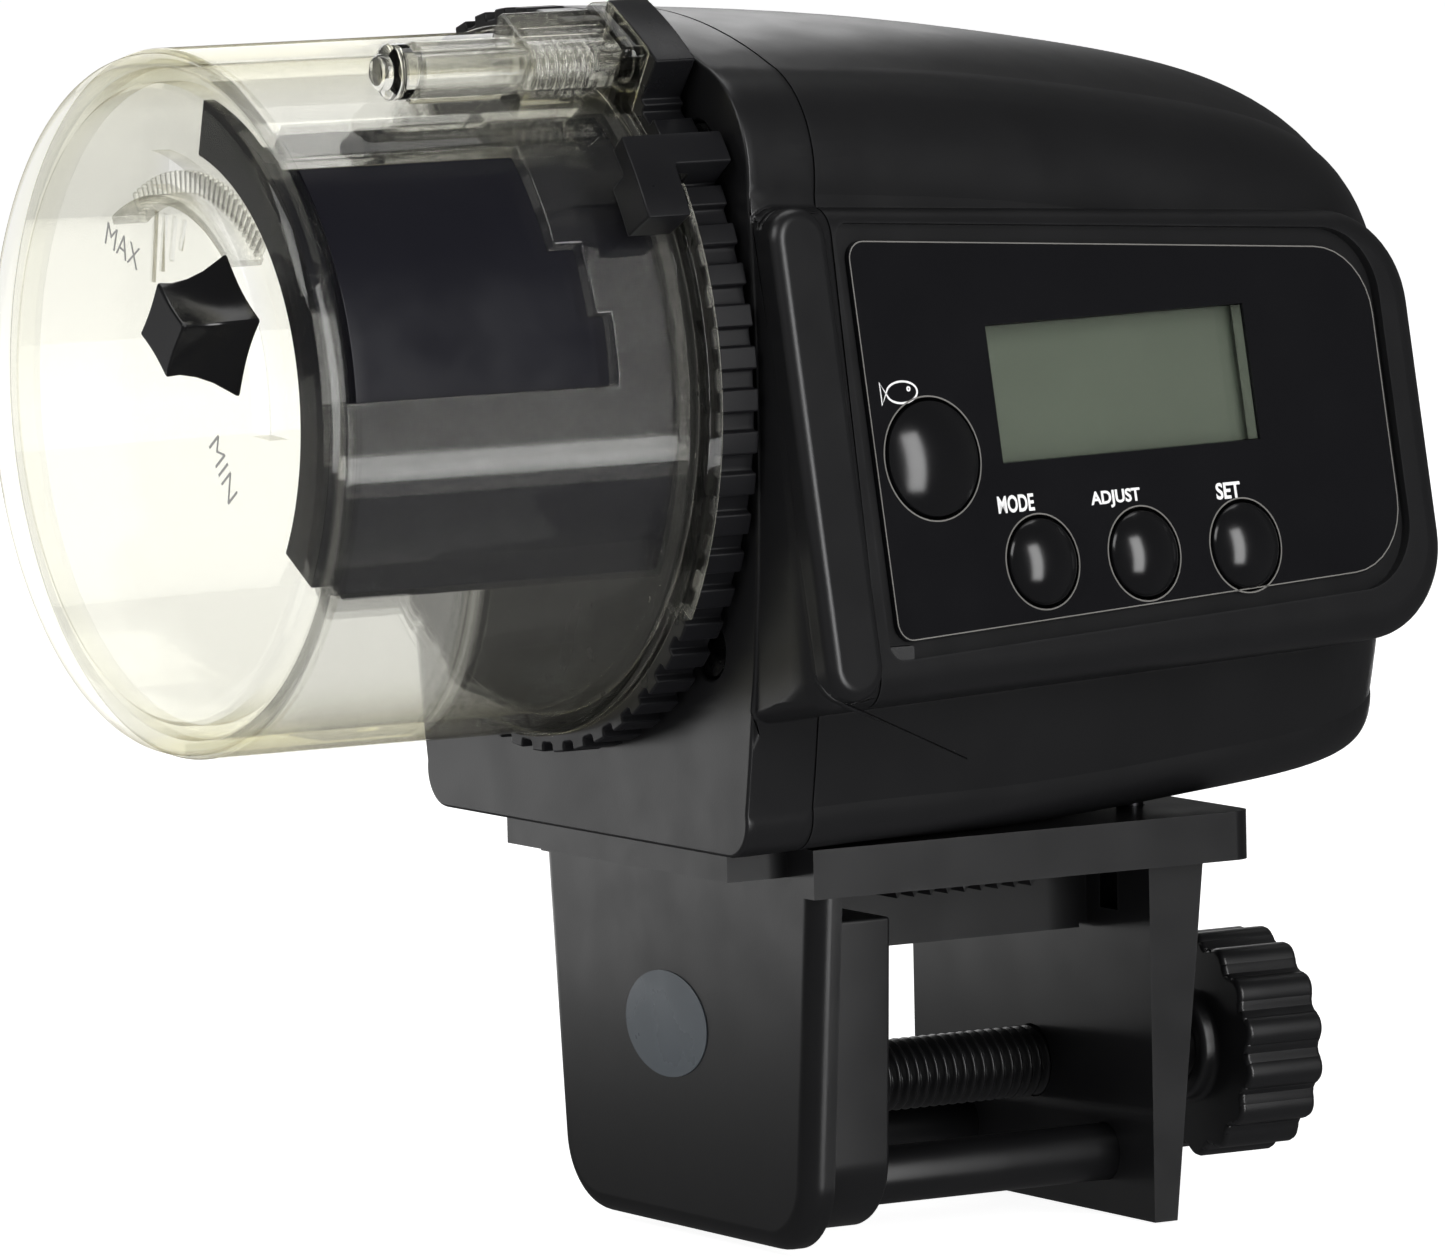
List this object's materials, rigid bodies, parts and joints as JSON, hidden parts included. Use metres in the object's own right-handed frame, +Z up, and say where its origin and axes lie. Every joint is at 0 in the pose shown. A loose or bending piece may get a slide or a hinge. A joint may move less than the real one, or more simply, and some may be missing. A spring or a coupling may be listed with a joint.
{
  "type": "automatic aquarium fish feeder",
  "caption": "Automatic fish feeder: clear rotating food drum with an adjustable shutter, button and display panel on a black body, screw clamp for a tank rim.",
  "frame": {"origin": "centre of the rim seat, the flat underside of the clamp's guide rail that rests on the tank's rim", "axes": "+X along the drum's axis from the drum towards the body, -Y towards the control panel, +Z up"},
  "size_m": [0.1269, 0.0748, 0.1122],
  "materials": {
    "clear_drum": "clear moulded plastic with slightly warm edges",
    "black_shutter": "smooth black plastic",
    "black_gloss": "polished black plastic",
    "black_abs": "satin black moulded plastic with a fine grain",
    "black_overlay": "glossy printed film",
    "lcd_clear": "clear display window",
    "lcd_grey": "grey-green reflective display glass",
    "spring_steel": "bright drawn wire",
    "steel": "machined steel",
    "brass": "machined",
    "white_pom": "natural acetal",
    "magnet": "nickel plated",
    "motor_steel": "zinc plated can",
    "grey_plastic": "moulded",
    "switch_black": "moulded",
    "pcb_green": "solder mask",
    "chip_black": "moulded packages",
    "battery_skin": "plain printed sleeve",
    "nickel": "nickel plated strip",
    "sticker": "plain silvery label"
  },
  "bodies": {
    "case": {"front_shell": "black_abs", "main_housing": "black_abs", "shell_screws": "steel", "panel_overlay": "black_overlay", "lcd_window": "lcd_clear", "lcd_module": "lcd_grey", "main_pcb": "pcb_green", "pcb_screws": "steel", "pcb_components": "chip_black", "tact_switches": "switch_black", "gearbox_plate_a": "grey_plastic", "gearbox_plate_b": "grey_plastic", "gearbox_posts": "grey_plastic", "gearbox_screws": "steel", "gear_axles": "steel", "output_bush": "brass", "motor_can": "motor_steel", "reed_switch": "grey_plastic", "battery_tray": "grey_plastic", "battery_1": "battery_skin", "battery_2": "battery_skin", "battery_contacts": "nickel", "battery_springs": "spring_steel", "clamp_bracket": "black_abs", "bracket_screws": "steel", "inspection_sticker": "sticker"},
    "drum": {"turntable": "black_abs", "drum_shell": "clear_drum", "drum_end_cap": "clear_drum", "output_shaft": "steel", "output_gear": "white_pom", "home_magnet": "magnet", "lock_spring": "spring_steel"},
    "shutter": {"shutter": "black_shutter", "shutter_knob": "black_gloss"},
    "lock_pin": {"lock_pin": "clear_drum"},
    "stage_2": {"gear_stage_2": "white_pom"},
    "stage_1": {"gear_stage_1": "white_pom"},
    "motor_rotor": {"motor_pinion": "brass", "motor_shaft": "steel"},
    "feed_button": {"feed_button": "black_gloss"},
    "mode_button": {"mode_button": "black_gloss"},
    "adjust_button": {"adjust_button": "black_gloss"},
    "set_button": {"set_button": "black_gloss"},
    "battery_door": {"battery_door": "black_abs"},
    "moving_jaw": {"moving_jaw": "black_abs", "guide_rods": "black_abs"},
    "clamp_screw": {"clamp_screw": "black_abs", "screw_clip": "spring_steel", "clamp_knob": "black_abs"}
  },
  "joints": [
    {"name": "drum_spin", "type": "hinge", "parent": "case", "child": "drum", "pos_m": [-0.035, 0, 0.052], "axis": [1, 0, 0], "continuous": true},
    {"name": "stage_2_spin", "type": "hinge", "parent": "case", "child": "stage_2", "pos_m": [-0.025, -0.00421, 0.03512], "axis": [1, 0, 0], "continuous": true},
    {"name": "stage_1_spin", "type": "hinge", "parent": "case", "child": "stage_1", "pos_m": [-0.02, 0.01252, 0.03991], "axis": [1, 0, 0], "continuous": true},
    {"name": "motor_spin", "type": "hinge", "parent": "case", "child": "motor_rotor", "pos_m": [-0.017, 0.01252, 0.05731], "axis": [1, 0, 0], "continuous": true},
    {"name": "shutter_adjust", "type": "hinge", "parent": "drum", "child": "shutter", "pos_m": [-0.055, 0, 0.052], "axis": [-1, 0, 0], "range_deg": [-25, 55]},
    {"name": "lock_pin_pull", "type": "slide", "parent": "drum", "child": "lock_pin", "axis": [-1, 0, 0], "range_m": [0, 0.0034], "stiffness_N_per_m": 900, "springref_m": -0.002, "deforming": ["lock_spring"]},
    {"name": "feed_press", "type": "slide", "parent": "case", "child": "feed_button", "axis": [-0.1541, 0.9727, -0.1736], "range_m": [0, 0.0008], "stiffness_N_per_m": 800, "springref_m": -0.0005},
    {"name": "mode_press", "type": "slide", "parent": "case", "child": "mode_button", "axis": [-0.1541, 0.9727, -0.1736], "range_m": [0, 0.0008], "stiffness_N_per_m": 800, "springref_m": -0.0005},
    {"name": "adjust_press", "type": "slide", "parent": "case", "child": "adjust_button", "axis": [-0.1541, 0.9727, -0.1736], "range_m": [0, 0.0008], "stiffness_N_per_m": 800, "springref_m": -0.0005},
    {"name": "set_press", "type": "slide", "parent": "case", "child": "set_button", "axis": [-0.1541, 0.9727, -0.1736], "range_m": [0, 0.0008], "stiffness_N_per_m": 800, "springref_m": -0.0005},
    {"name": "battery_door_off", "type": "slide", "parent": "case", "child": "battery_door", "axis": [0, 1, 0], "range_m": [0, 0.012]},
    {"name": "jaw_travel", "type": "slide", "parent": "case", "child": "moving_jaw", "axis": [1, 0, 0], "range_m": [0, 0.025]},
    {"name": "screw_turn", "type": "hinge", "parent": "moving_jaw", "child": "clamp_screw", "pos_m": [0.005, 0, -0.0132], "axis": [1, 0, 0], "range_deg": [-10, 9010]}
  ],
  "couplings": [
    {"joint": "stage_2_spin", "follows": "drum_spin", "ratio": -4.8},
    {"joint": "stage_1_spin", "follows": "drum_spin", "ratio": 23.04},
    {"joint": "motor_spin", "follows": "drum_spin", "ratio": -110.59},
    {"joint": "screw_turn", "follows": "jaw_travel", "rad_per_m": 6283.2}
  ]
}
